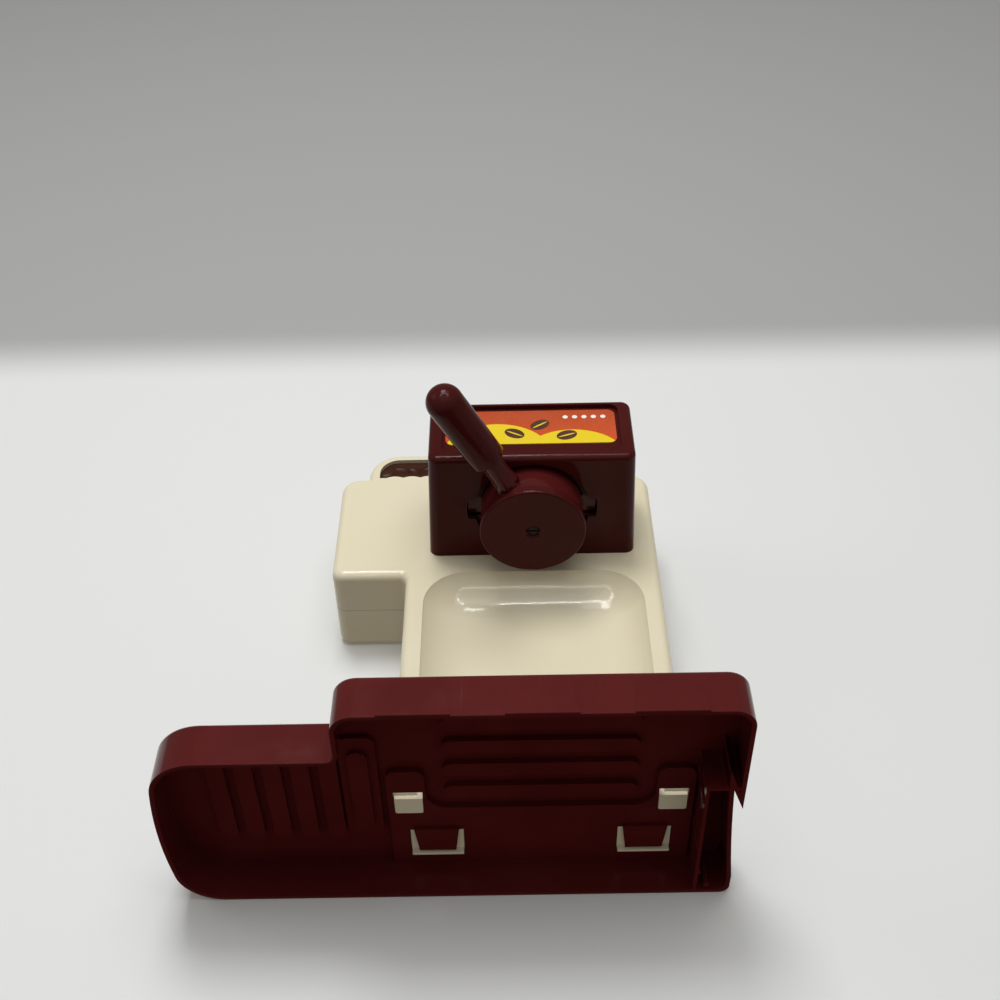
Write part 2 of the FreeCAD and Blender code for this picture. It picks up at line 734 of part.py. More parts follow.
def make_head():
    outer = round_face(head_solid(0, 0), head_front, head_face_round)
    inner = head_solid(head_wall, head_floor)
    shell = outer.cut(inner).cut(opening_tool(head_bottom - 1, floor_top + 1))
    half = frame_width / 2.0
    frame = rounded_plate(mid_x - half, mid_x + half, frame_z - frame_height / 2.0,
                          frame_z + frame_height / 2.0, head_front - frame_depth,
                          head_front + 1, frame_corner_radius)
    shell = shell.cut(frame)
    for x, z in head_screw_places():
        boss = cylinder(boss_radius, head_boss_length, at(x, body_depth, z), FRONT)
        side_x = mid_x + math.copysign(head_width / 2.0, x - mid_x)
        web = box(min(x, side_x), max(x, side_x), body_depth,
                  body_depth + head_boss_length, z - boss_web / 2.0, z + boss_web / 2.0)
        boss = boss.fuse(web.common(outer))
        bore = screw_hole(at(x, body_depth - 1, z), FRONT, head_screw_bite + 1 + screw_clearance)
        shell = shell.fuse(boss).cut(bore)
    for x, h in bridge_posts():
        foot_z = floor_top - head_floor / 2.0
        post = cylinder(post_radius, bridge_z - foot_z, at(x, h, foot_z))
        bore = screw_hole(at(x, h, bridge_z + 1), DOWN, bridge_screw_bite + 1 + screw_clearance)
        shell = shell.fuse(post).cut(bore)
    for turn in (0, 180):
        rib_x = mid_x + socket_radius + stop_gap
        rib = box(rib_x, rib_x + stop_length, cup_h, cup_h + stop_width,
                  floor_top - head_floor / 2.0, lug_bottom + lug_height)
        rib.rotate(at(mid_x, cup_h, 0), UP, turn + stop_angle)
        shell = shell.fuse(rib)
    return shell.removeSplitter()


def make_label():
    h0 = head_front - frame_depth
    return rounded_plate(mid_x - label_width / 2.0, mid_x + label_width / 2.0,
                         label_z - label_height / 2.0, label_z + label_height / 2.0,
                         h0, h0 + label_thickness, label_corner_radius)


def head_screws():
    return [screw(at(x, body_depth - body_wall, z), FRONT, body_wall + head_screw_bite)
            for x, z in head_screw_places()]


# Socket inside the head
def make_socket():
    """Turning socket: a ring with a roof and a stub shaft, slotted for the lugs."""
    ring = cylinder(socket_radius, socket_height, at(mid_x, cup_h, socket_bottom))
    room = cylinder(cup_radius + cup_gap, socket_height - socket_roof, at(mid_x, cup_h, socket_bottom))
    stub = cylinder(stub_radius, stub_length, at(mid_x, cup_h, socket_top))
    slot = box(mid_x - socket_radius - 1, mid_x + socket_radius + 1, cup_h - notch_width / 2.0,
               cup_h + notch_width / 2.0, socket_bottom - 1, lug_bottom + lug_height + cup_gap)
    edges = edges_near(ring, z=socket_top)
    ring = ring.makeFillet(1.0, edges)
    return ring.cut(room).fuse(stub).cut(slot).removeSplitter()


def make_bridge():
    """Strap over the socket with the bearing for its stub shaft."""
    half = bridge_reach + post_radius + 1.0
    strap = box(mid_x - half, mid_x + half, cup_h - bridge_width / 2.0, cup_h + bridge_width / 2.0,
                bridge_z, bridge_z + bridge_thickness)
    ends = []
    for x in (mid_x - half, mid_x + half):
        for h in (cup_h - bridge_width / 2.0, cup_h + bridge_width / 2.0):
            ends += edges_near(strap, x=x, h=h, along=UP)
    strap = strap.makeFillet(bridge_width / 2.0 - 0.5, ends)
    collar = cylinder(stub_radius + bridge_collar, bridge_thickness + bridge_collar,
                      at(mid_x, cup_h, bridge_z))
    strap = strap.fuse(collar)
    bores = [cylinder(stub_radius + bearing_gap, 2 * stub_length, at(mid_x, cup_h, bridge_z - 1.0))]
    for x, h in bridge_posts():
        bores.append(screw_hole(at(x, h, bridge_z - 1.0), UP, bridge_thickness + 2.0))
    return strap.cut(bores).removeSplitter()


def bridge_screws():
    return [screw(at(x, h, bridge_z + bridge_thickness), DOWN, bridge_thickness + bridge_screw_bite)
            for x, h in bridge_posts()]


# Portafilter
def along_handle(length_profile, radius_profile):
    """Round solid on the handle's axis from distances and radii."""
    points = [FreeCAD.Vector(length_profile[0], 0, 0)]
    for distance, radius in zip(length_profile, radius_profile):
        points.append(FreeCAD.Vector(distance, 0, radius))
    points.append(FreeCAD.Vector(length_profile[-1], 0, 0))
    face = Part.Face(Part.makePolygon(points + [points[0]]))
    return face.revolve(FreeCAD.Vector(0, 0, 0), FreeCAD.Vector(1, 0, 0), 360)


def place_handle(solid):
    """Turn a solid drawn along +X so that it lies on the handle's axis."""
    solid.rotate(FreeCAD.Vector(0, 0, 0), FreeCAD.Vector(0, 1, 0), handle_droop)
    solid.rotate(FreeCAD.Vector(0, 0, 0), UP, -90.0 - handle_angle)
    drop = math.tan(math.radians(handle_droop)) * cup_radius
    solid.translate(at(mid_x, cup_h, handle_z + drop))
    return solid


def make_cup():
    """Cup with its two lugs and the neck that carries the grip."""
    outer = cylinder(cup_radius, cup_top - cup_bottom, at(mid_x, cup_h, cup_bottom))
    outer = outer.makeFillet(0.8, edges_near(outer, z=cup_top))
    bowl = cylinder(cup_radius - cup_wall, cup_top - cup_bottom - cup_floor + 1,
                    at(mid_x, cup_h, cup_bottom + cup_floor))
    bowl = bowl.makeFillet(2.5, edges_near(bowl, z=cup_bottom + cup_floor))
    bar = box(mid_x - lug_radius, mid_x + lug_radius, cup_h - lug_width / 2.0, cup_h + lug_width / 2.0,
              lug_bottom, lug_bottom + lug_height)
    lugs = bar.common(cylinder(lug_radius, lug_height, at(mid_x, cup_h, lug_bottom)))
    inside = cup_radius - cup_wall / 2.0
    neck = along_handle([inside, cup_radius + neck_flare / 4.0, cup_radius + neck_flare, grip_start],
                        [neck_root_radius, neck_root_radius * 0.92, neck_radius, neck_radius])
    neck_end = grip_start + core_length
    core = along_handle([grip_start - 0.5, neck_end - 1.0, neck_end],
                        [core_radius, core_radius, core_radius - 1.0])
    neck = place_handle(neck.fuse(core))
    neck = neck.cut(box(left_x, right_x, -grip_length, head_front + grip_length, 0, cup_bottom))
    cup = outer.fuse(lugs).fuse(neck).cut(bowl)
    post = cylinder(boss_radius, cup_post_height, at(mid_x, cup_h, cup_bottom + cup_floor / 2.0))
    cup = cup.fuse(post).cut(screw_hole(at(mid_x, cup_h, cup_bottom - 1), UP, disc_screw_length))
    return cup.removeSplitter()


def make_disc():
    """Round plate under the cup with a countersunk hole in its middle."""
    z0 = cup_bottom - disc_thickness
    disc = cylinder(disc_radius, disc_thickness, at(mid_x, cup_h, z0))
    disc = disc.makeFillet(disc_round, edges_near(disc, z=z0))
    hole = cylinder(disc_hole_radius + 0.5, disc_thickness - disc_screw_floor, at(mid_x, cup_h, z0))
    pilot = cylinder(screw_radius + fit_gap, disc_thickness + 2, at(mid_x, cup_h, z0 - 1))
    sink = Part.makeCone(disc_sink_radius, disc_hole_radius, disc_sink_depth, at(mid_x, cup_h, z0))
    return disc.cut([hole, pilot, sink])


def disc_screw():
    return screw(at(mid_x, cup_h, cup_bottom - disc_screw_floor), UP, disc_screw_length)


def make_grip():
    """Thick round-ended grip, bored for the neck's core."""
    far = grip_start + grip_length
    outer = along_handle([grip_start, far], [grip_radius, grip_radius])
    for end, radius in ((far, grip_far_round), (grip_start, grip_near_round)):
        edges = [e for e in outer.Edges
                 if abs(e.BoundBox.XMin - end) < 0.01 and abs(e.BoundBox.XMax - end) < 0.01]
        outer = outer.makeFillet(radius, edges)
    bore = along_handle([grip_start - 1, grip_start + core_length + 1.5],
                        [core_radius + fit_gap, core_radius + fit_gap])
    return place_handle(outer.cut(bore))


def main():
    os.makedirs("parts", exist_ok=True)
    front, rear = make_body()
    nodes = {
        "base_shell": [make_base()],
        "body_front_shell": [front],
        "body_rear_cover": [rear],
        "body_screws": body_screws(),
        "head_shell": [make_head()],
        "head_screws": head_screws(),
        "head_label": [make_label()],
        "hopper_beans": [make_beans()],
        "brew_socket": [make_socket()],
        "socket_bridge": [make_bridge()],
        "bridge_screws": bridge_screws(),
        "portafilter_cup": [make_cup()],
        "portafilter_disc": [make_disc()],
        "disc_screw": [disc_screw()],
        "portafilter_grip": [make_grip()],
    }
    every = Part.Compound([solid for solids in nodes.values() for solid in solids])
    bounds = every.optimalBoundingBox(False)
    shift = FreeCAD.Vector(-bounds.Center.x, -bounds.Center.y, 0)
    for name, solids in nodes.items():
        shape = solids[0] if len(solids) == 1 else Part.Compound(solids)
        shape.translate(shift)
        shape.exportStep("parts/" + name + ".step")
        box_now = shape.optimalBoundingBox(False)
        print(name, "solids", len(shape.Solids), "valid", shape.isValid(),
              "volume %.0f" % shape.Volume,
              "x %.2f %.2f y %.2f %.2f z %.2f %.2f" % (box_now.XMin, box_now.XMax, box_now.YMin,
                                                     box_now.YMax, box_now.ZMin, box_now.ZMax))
    print("shift", shift)
    print("cup axis x %.3f y %.3f" % (mid_x + shift.x, -cup_h + shift.y))


main()
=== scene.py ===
import math

import bmesh
import bpy
from mathutils import Matrix, Vector


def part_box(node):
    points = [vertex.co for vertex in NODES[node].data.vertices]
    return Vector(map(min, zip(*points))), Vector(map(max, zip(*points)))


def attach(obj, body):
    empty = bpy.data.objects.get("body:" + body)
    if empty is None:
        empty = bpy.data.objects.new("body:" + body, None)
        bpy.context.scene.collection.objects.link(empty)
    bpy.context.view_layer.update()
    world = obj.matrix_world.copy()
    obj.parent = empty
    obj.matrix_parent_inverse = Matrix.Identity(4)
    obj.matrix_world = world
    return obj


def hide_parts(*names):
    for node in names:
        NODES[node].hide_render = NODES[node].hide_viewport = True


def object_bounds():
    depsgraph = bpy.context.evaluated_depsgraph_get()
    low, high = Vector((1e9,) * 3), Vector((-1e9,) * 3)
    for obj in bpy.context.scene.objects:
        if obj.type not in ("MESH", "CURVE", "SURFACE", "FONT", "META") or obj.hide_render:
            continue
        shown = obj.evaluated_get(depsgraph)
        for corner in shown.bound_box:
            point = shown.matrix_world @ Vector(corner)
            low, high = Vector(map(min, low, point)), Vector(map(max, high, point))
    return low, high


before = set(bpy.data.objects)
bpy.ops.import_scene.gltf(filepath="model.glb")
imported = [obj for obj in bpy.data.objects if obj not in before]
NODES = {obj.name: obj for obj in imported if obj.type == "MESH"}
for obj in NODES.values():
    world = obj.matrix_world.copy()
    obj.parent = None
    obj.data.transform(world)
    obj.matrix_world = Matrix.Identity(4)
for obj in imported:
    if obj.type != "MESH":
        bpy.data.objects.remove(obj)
cad_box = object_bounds()

# Camera, fitted to a square image of the toy lying on its back
IMAGE_SIZE = 1000.0
SENSOR_WIDTH = 36.0
CLIP_START = 0.01
FOCAL_PIXELS = 1320.2
PITCH = math.radians(41.43)
ROLL = math.radians(-1.29)
YAW = math.radians(-0.45)
CAMERA_PLACE = Vector((0.0280, -0.44489, -0.3309))

# Stage, in metres; the table is the plane of the toy's back
TABLE_GAP = 0.0003
STAGE_SIZE = 6.0
# Painted shade: heights on the table over which it turns darker, standing for light falling off
# towards its far end
FAR_SHADE_START = 0.40
FAR_SHADE_END = 0.46
OBJECT_MIDDLE = (0.03, 0.0, 0.11)
RING_DIRECTION = (-0.04, -0.97, -0.22)
RING_DISTANCE = 0.90
RING_RADIUS = 0.35
RING_WIDTH = 0.034

# Places on the toy, in metres, the same as in its solids
BACK = cad_box[1][1]
MIDDLE_X = 0.04025
BODY_DEPTH = 0.0526
TRAY_TOP = 0.022
SEAM_DEPTH = 0.027
SEAM_WIDTH = 0.00035

# Recess in the front: mouth, depth, and the curve of its dished lining
TUB_HALF = 0.056
TUB_TOP = 0.156
TUB_CORNER = 0.022
TUB_DEPTH = 0.012
TUB_CURVE = 0.0255
TUB_REACH = math.sqrt(TUB_CURVE ** 2 - (TUB_CURVE - TUB_DEPTH) ** 2)
DISH_MARGIN = 0.00035
DISH_PROUD = 0.00014
DISH_RINGS = 26
DISH_CORNER_STEPS = 20
DISH_SIDE_STEPS = 24
DISH_TOP_STEPS = 16

# Handle: it runs forward and left from the cup's axis and droops a little
CUP_AXIS = Vector((0.04025, 0.0021752, 0.0))
HANDLE_ANGLE = math.radians(28.0)
HANDLE_DROOP = math.radians(3.0)
NECK_ROOT_REACH = 0.026
NECK_ROOT_Z = 0.161
HANDLE_Z = NECK_ROOT_Z + math.tan(HANDLE_DROOP) * NECK_ROOT_REACH
GRIP_NEAR = 0.0465
GRIP_FAR = 0.0958
GRIP_RADIUS = 0.0090
GRIP_BORE = 0.0052
GRIP_EDGE = 0.0007
GRIP_STEPS = 72
SLEEVE_NEAR = 0.0272
SLEEVE_FAR = 0.0468
SLEEVE_RADIUS = 0.00575
SLEEVE_FLARE = 0.0012
SLEEVE_FACETS = 0.13
SLEEVE_STEPS = 48

# Lips that hook through the rear windows of the base
CATCH_OFFSET = 0.04675
CATCH_HALF = 0.0118
CATCH_NEAR = 0.0110
CATCH_FAR = 0.0124
CATCH_LOW = 0.0146
CATCH_HIGH = 0.0180
CATCH_EDGE = 0.0003

# Label, in half heights from its middle: hills and beans, each with its place and radii or tilt
HILLS = (((-1.3, -1.55), (2.0, 1.75)), ((1.55, -1.75), (1.9, 1.55)))
BEANS = (((0.35, 0.12), 0.6), ((-0.62, -0.38), -0.5), ((1.35, -0.52), 0.35))
BEAN_RADII = (0.40, 0.27)
CREASE_RADII = (0.33, 0.035)
DOT_COUNT = 5
DOT_MARGIN = 0.45
DOT_PITCH = 0.36
DOT_HEIGHT = 0.58
DOT_RADII = (0.10, 0.10)

# Marks on moulded plastic: features per metre, shares, and depths in metres
FLOW_SCALE = 11.0
BLOTCH_SCALE = 40.0
SPECK_SCALE = 2300.0
PATCH_SCALE = 26.0
DUST_SHARE = 0.10
SCUFF_SCALE = 75.0
HAIRLINE_SCALE = 900.0
WORN_SCALE = 18.0
MARK_ROUGHNESS = 0.05
PEEL_SCALE = 190.0
GRAIN_SCALE = 3200.0
GRAIN_DEPTH = 0.00012
HAIRLINE_DEPTH = 0.00005
SEAM_SHADE = 0.35
SEAM_GROOVE = 0.0003
PLASTIC_IOR = 1.47

# Lamps: place, size in metres and power in watts
KEY_LAMP = ((-0.15, -1.45, 0.60), 0.50, 10.0)
OVERHEAD_LAMP = ((0.10, -1.60, 0.25), 1.1, 9.5)
SIDE_LAMP = ((-1.3, -0.9, 0.3), 0.8, 2.0)
RING_GLOW = 38.0
RING_STEPS = 96
WORLD_COLOR = (0.99, 0.93, 0.86)
WORLD_STRENGTH = 0.29
WORLD_SEEN = (0.80, 0.81, 0.81)
# Painted shade: share of the pale colour left at the far end of the table
FAR_SHADE_KEPT = 0.50

# Colours, linear
CREAM = (0.78, 0.735, 0.565)
CREAM_AGED = (0.78, 0.715, 0.52)
MAROON = (0.098, 0.0115, 0.0115)
MAROON_DEEP = (0.080, 0.0085, 0.0085)
HEAD_MAROON = (0.064, 0.0085, 0.0080)
HEAD_DEEP = (0.052, 0.0068, 0.0062)
SOCKET_DARK = (0.026, 0.0040, 0.0038)
BEAN_BROWN = (0.056, 0.019, 0.009)
# Painted shade: colour of the bean plate at the back of the hopper window
BEAN_SHADED = (0.038, 0.011, 0.006)
LABEL_ORANGE = (0.60, 0.075, 0.008)
LABEL_DEEP = (0.46, 0.062, 0.010)
LABEL_YELLOW = (0.80, 0.60, 0.008)
LABEL_WHITE = (0.84, 0.83, 0.80)
LABEL_BROWN = (0.075, 0.022, 0.012)
STEEL = (0.42, 0.42, 0.43)
STEEL_TARNISH = (0.26, 0.24, 0.21)
# Painted shade: the screw in the disc's hole is coloured near-black to stand for the shade in the
# hole, with a little random tarnish
SHADED_STEEL = (0.020, 0.013, 0.012)
SHADED_TARNISH = (0.03, 0.02, 0.018)
PALE_FLOOR = (0.765, 0.785, 0.785)
DUST = (0.45, 0.42, 0.38)


# Sockets of the mix node that carry colours
COLOR_A = 6
COLOR_B = 7
COLOR_OUT = 2


class Nodes:
    """Short calls for building one material's node tree."""

    def __init__(self, name):
        self.material = bpy.data.materials.new(name)
        self.material.use_nodes = True
        self.tree = self.material.node_tree
        self.tree.nodes.clear()
        self.output = self.add("ShaderNodeOutputMaterial")
        self.coords = self.add("ShaderNodeTexCoord").outputs["Object"]

    def add(self, kind, **settings):
        node = self.tree.nodes.new(kind)
        for key, value in settings.items():
            setattr(node, key, value)
        return node

    def link(self, source, target):
        self.tree.links.new(source, target)

    def put(self, target, value):
        """Links a socket, or sets a constant on it."""
        if isinstance(value, bpy.types.NodeSocket):
            self.link(value, target)
        elif isinstance(value, tuple) and len(value) == 3 and target.type == "RGBA":
            target.default_value = (*value, 1.0)
        else:
            target.default_value = value

    def noise(self, scale, detail=3.0, roughness=0.5, stretch=None, distortion=0.0):
        """Noise in metres: scale is features per metre."""
        source = self.coords
        if stretch is not None:
            mapping = self.add("ShaderNodeMapping")
            self.link(self.coords, mapping.inputs["Vector"])
            mapping.inputs["Scale"].default_value = stretch
            source = mapping.outputs["Vector"]
        node = self.add("ShaderNodeTexNoise")
        self.link(source, node.inputs["Vector"])
        node.inputs["Scale"].default_value = scale
        node.inputs["Detail"].default_value = detail
        node.inputs["Roughness"].default_value = roughness
        node.inputs["Distortion"].default_value = distortion
        return node.outputs["Fac"]

    def span(self, value, low, high, out_low=0.0, out_high=1.0):
        """Maps low..high smoothly to out_low..out_high, clamped."""
        node = self.add("ShaderNodeMapRange")
        node.interpolation_type = "SMOOTHSTEP"
        self.put(node.inputs["Value"], value)
        node.inputs["From Min"].default_value = low
        node.inputs["From Max"].default_value = high
        node.inputs["To Min"].default_value = out_low
        node.inputs["To Max"].default_value = out_high
        return node.outputs["Result"]

    def calc(self, operation, a, b=0.0):
        """One arithmetic step between sockets or numbers."""
        node = self.add("ShaderNodeMath", operation=operation)
        self.put(node.inputs[0], a)
        self.put(node.inputs[1], b)
        return node.outputs["Value"]

    def mix(self, factor, a, b):
        """Colour a where factor is 0, colour b where it is 1."""
        node = self.add("ShaderNodeMix", data_type="RGBA")
        self.put(node.inputs["Factor"], factor)
        self.put(node.inputs[COLOR_A], a)
        self.put(node.inputs[COLOR_B], b)
        return node.outputs[COLOR_OUT]

    def bump(self, height, strength, distance, normal=None):
        """Normal bent by a height, distance deep in metres."""
        node = self.add("ShaderNodeBump")
        self.put(node.inputs["Height"], height)
        node.inputs["Strength"].default_value = strength
        node.inputs["Distance"].default_value = distance
        if normal is not None:
            self.link(normal, node.inputs["Normal"])
        return node.outputs["Normal"]

    def surface(self, color, roughness, normal=None, **constants):
        """Principled shader wired to the output; constants go straight onto its sockets."""
        shader = self.add("ShaderNodeBsdfPrincipled")
        self.put(shader.inputs["Base Color"], color)
        self.put(shader.inputs["Roughness"], roughness)
        if normal is not None:
            self.link(normal, shader.inputs["Normal"])
        for name, value in constants.items():
            shader.inputs[name.replace("_", " ")].default_value = value
        self.link(shader.outputs["BSDF"], self.output.inputs["Surface"])
        return shader


def moulded_plastic(name, color, aged, gloss, sheen, peel_depth, seam=False):
    """Moulded plastic: flow marks, soft scuffs, hairline scratches, a little dust and orange peel."""
    n = Nodes(name)
    flow = n.noise(FLOW_SCALE, 2.0, 0.5, stretch=(1.0, 1.0, 0.45), distortion=0.6)
    blotch = n.noise(BLOTCH_SCALE, 4.0, 0.6)
    tone = n.calc("ADD", n.calc("MULTIPLY", flow, 0.6), n.calc("MULTIPLY", blotch, 0.4))
    base = n.mix(n.span(tone, 0.36, 0.66), aged, color)
    specks = n.span(n.noise(SPECK_SCALE, 2.0, 0.6), 0.74, 0.80)
    patches = n.span(n.noise(PATCH_SCALE, 3.0, 0.55), 0.50, 0.68)
    dust = n.calc("MULTIPLY", n.calc("MULTIPLY", specks, patches), DUST_SHARE)
    base = n.mix(dust, base, DUST)
    scuffs = n.span(n.noise(SCUFF_SCALE, 6.0, 0.7), 0.45, 0.75)
    scratches = n.noise(HAIRLINE_SCALE, 1.0, 0.5, stretch=(1.0, 0.30, 0.03))
    hairlines = n.span(scratches, 0.66, 0.72)
    worn = n.span(n.noise(WORN_SCALE, 2.0, 0.5), 0.50, 0.62)
    marks = n.calc("MULTIPLY", hairlines, worn)
    scuffed = n.calc("MULTIPLY", scuffs, MARK_ROUGHNESS)
    scratched = n.calc("MULTIPLY", marks, MARK_ROUGHNESS)
    rough = n.calc("ADD", scuffed, scratched)
    rough = n.calc("ADD", rough, gloss)
    peel = n.noise(PEEL_SCALE, 2.0, 0.4)
    grain = n.noise(GRAIN_SCALE, 2.0, 0.5)
    normal = n.bump(peel, 0.5, peel_depth)
    normal = n.bump(grain, 0.04, GRAIN_DEPTH, normal)
    normal = n.bump(marks, 0.04, HAIRLINE_DEPTH, normal)
    if seam:
        xyz = n.add("ShaderNodeSeparateXYZ")
        n.link(n.coords, xyz.inputs["Vector"])
        off = n.calc("SUBTRACT", xyz.outputs["Y"], BACK - SEAM_DEPTH)
        line = n.span(n.calc("ABSOLUTE", off), SEAM_WIDTH * 0.3, SEAM_WIDTH, 1.0, 0.0)
        dirt = tuple(SEAM_SHADE * part for part in aged)
        base = n.mix(n.calc("MULTIPLY", line, SEAM_SHADE), base, dirt)
        normal = n.bump(n.calc("SUBTRACT", 1.0, line), 0.6, SEAM_GROOVE, normal)
    n.surface(base, rough, normal, IOR=PLASTIC_IOR, Specular_IOR_Level=sheen)
    return n.material


def screw_steel(name, color, tarnished):
    """Plated screw steel with turning marks and a little tarnish."""
    n = Nodes(name)
    tarnish = n.span(n.noise(700.0, 4.0, 0.6), 0.45, 0.70)
    base = n.mix(tarnish, color, tarnished)
    rough = n.span(n.noise(1600.0, 3.0, 0.6, stretch=(1.0, 1.0, 0.2)), 0.3, 0.7, 0.25, 0.50)
    normal = n.bump(n.noise(2500.0, 2.0, 0.5, stretch=(1.0, 0.2, 1.0)), 0.15, 0.00005)
    n.surface(base, rough, normal, Metallic=1.0)
    return n.material


def bean_plastic():
    """Brown bean plate with painted shade: darker the further back it lies in the window, over a
    random mottle.
    """
    n = Nodes("bean_brown")
    low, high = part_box("hopper_beans")
    xyz = n.add("ShaderNodeSeparateXYZ")
    n.link(n.coords, xyz.inputs["Vector"])
    # Painted shade: 1 at the front of the bean plate, falling to 0 at its back
    depth = n.span(xyz.outputs["Y"], low[1], high[1], 1.0, 0.0)
    mottled = n.noise(300.0, 4.0, 0.6)
    lit = n.calc("MULTIPLY", depth, n.span(mottled, 0.3, 0.7, 0.5, 1.0))
    base = n.mix(lit, BEAN_SHADED, BEAN_BROWN)
    rough = n.span(n.noise(140.0, 3.0), 0.35, 0.65, 0.24, 0.42)
    normal = n.bump(n.noise(900.0, 3.0, 0.5), 0.12, 0.0001)
    n.surface(base, rough, normal, IOR=PLASTIC_IOR, Specular_IOR_Level=0.12)
    return n.material


def ellipse_mask(n, x, z, centre, radii, edge=0.06, tilt=0.0):
    """1 inside an ellipse on the label, 0 outside, with a soft printed edge."""
    dx = n.calc("SUBTRACT", x, centre[0])
    dz = n.calc("SUBTRACT", z, centre[1])
    c, s = math.cos(tilt), math.sin(tilt)
    u = n.calc("ADD", n.calc("MULTIPLY", dx, c), n.calc("MULTIPLY", dz, s))
    v = n.calc("SUBTRACT", n.calc("MULTIPLY", dz, c), n.calc("MULTIPLY", dx, s))
    u = n.calc("POWER", n.calc("DIVIDE", u, radii[0]), 2.0)
    v = n.calc("POWER", n.calc("DIVIDE", v, radii[1]), 2.0)
    return n.span(n.calc("ADD", u, v), 1.0 - edge, 1.0 + edge, 1.0, 0.0)


def printed_label():
    """Printed sticker: orange ground, rising yellow hills, a row of beans and white dots."""
    n = Nodes("label_print")
    low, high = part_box("head_label")
    middle_x = (low[0] + high[0]) / 2.0
    middle_z = (low[2] + high[2]) / 2.0
    half_x = (high[0] - low[0]) / 2.0
    half_z = (high[2] - low[2]) / 2.0
    xyz = n.add("ShaderNodeSeparateXYZ")
    n.link(n.coords, xyz.inputs["Vector"])
    x = n.calc("DIVIDE", n.calc("SUBTRACT", xyz.outputs["X"], middle_x), half_z)
    z = n.calc("DIVIDE", n.calc("SUBTRACT", xyz.outputs["Z"], middle_z), half_z)
    reach = half_x / half_z
    color = n.mix(n.span(z, -1.0, 1.0), LABEL_ORANGE, LABEL_DEEP)
    for centre, radii in HILLS:
        color = n.mix(ellipse_mask(n, x, z, centre, radii, 0.02), color, LABEL_YELLOW)
    for centre, tilt in BEANS:
        bean = ellipse_mask(n, x, z, centre, BEAN_RADII, 0.05, tilt)
        color = n.mix(bean, color, LABEL_BROWN)
        crease = ellipse_mask(n, x, z, centre, CREASE_RADII, 0.4, tilt)
        color = n.mix(crease, color, LABEL_YELLOW)
    for number in range(DOT_COUNT):
        place = (reach - DOT_MARGIN - DOT_PITCH * number, DOT_HEIGHT)
        color = n.mix(ellipse_mask(n, x, z, place, DOT_RADII, 0.12), color, LABEL_WHITE)
    fade = n.span(n.noise(700.0, 4.0, 0.6), 0.35, 0.75, 0.0, 0.035)
    color = n.mix(fade, color, LABEL_WHITE)
    rough = n.span(n.noise(90.0, 3.0), 0.3, 0.7, 0.26, 0.42)
    normal = n.bump(n.noise(1200.0, 2.0, 0.5), 0.06, 0.00008)
    n.surface(color, rough, normal, Specular_IOR_Level=0.25)
    return n.material


def stage_material():
    """Pale sweep that can only be seen from its front, so every side of the toy stays in view; its far
    end carries painted shade.
    """
    n = Nodes("pale_stage")
    geometry = n.add("ShaderNodeNewGeometry")
    xyz = n.add("ShaderNodeSeparateXYZ")
    n.link(geometry.outputs["Position"], xyz.inputs["Vector"])
    # Painted shade: the table darkens above a height, standing for light falling off with distance
    far_shade = n.span(xyz.outputs["Z"], FAR_SHADE_START, FAR_SHADE_END)
    base = n.mix(far_shade, PALE_FLOOR, tuple(FAR_SHADE_KEPT * part for part in PALE_FLOOR))
    cloud = n.span(n.noise(1.1, 2.0, 0.5), 0.3, 0.7)
    base = n.mix(n.calc("MULTIPLY", cloud, 0.03), base, (0.5, 0.5, 0.5))
    shader = n.surface(base, 0.55)
    clear = n.add("ShaderNodeBsdfTransparent")
    blend = n.add("ShaderNodeMixShader")
    n.link(geometry.outputs["Backfacing"], blend.inputs["Fac"])
    n.link(shader.outputs["BSDF"], blend.inputs[1])
    n.link(clear.outputs["BSDF"], blend.inputs[2])
    n.link(blend.outputs["Shader"], n.output.inputs["Surface"])
    return n.material


def stage_plane(name, rotation, place, material):
    """One-sided plane that takes shadows and shows in reflections but blocks no light."""
    half = STAGE_SIZE / 2.0
    mesh = bpy.data.meshes.new(name)
    corners = [(-half, -half, 0.0), (half, -half, 0.0), (half, half, 0.0), (-half, half, 0.0)]
    mesh.from_pydata(corners, [], [(0, 1, 2, 3)])
    plane = bpy.data.objects.new(name, mesh)
    bpy.context.scene.collection.objects.link(plane)
    plane.rotation_euler = rotation
    plane.location = place
    mesh.materials.append(material)
    plane.visible_diffuse = False
    plane.visible_shadow = False
    plane.visible_transmission = False


